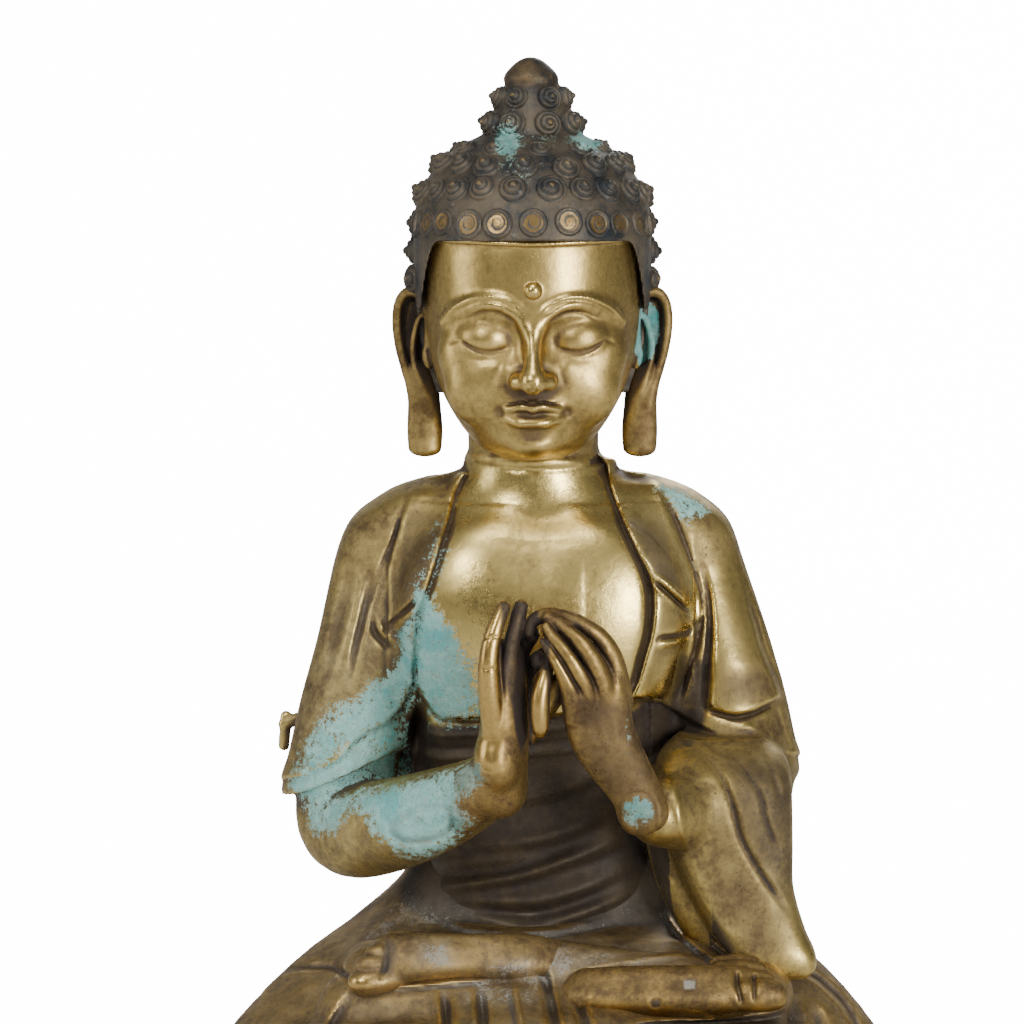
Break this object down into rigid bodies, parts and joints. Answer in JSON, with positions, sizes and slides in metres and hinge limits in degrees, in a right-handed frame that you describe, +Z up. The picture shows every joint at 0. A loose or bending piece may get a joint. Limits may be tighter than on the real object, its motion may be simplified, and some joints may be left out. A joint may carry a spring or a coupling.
{
  "type": "seated statue",
  "caption": "Seated cross-legged statue with a draped robe, both hands raised before the chest and a tall knot of curled hair, on a low rounded base.",
  "frame": {"origin": "centre of the underside of the base", "axes": "+Z up, the figure looks along -Y, +X is towards its left hand"},
  "size_m": [0.286, 0.214, 0.4705],
  "materials": {
    "brass": "worn polished high points, dark patina in the folds, patches of pale green verdigris"
  },
  "bodies": {
    "root": {"seated_figure": "brass"}
  },
  "joints": []
}
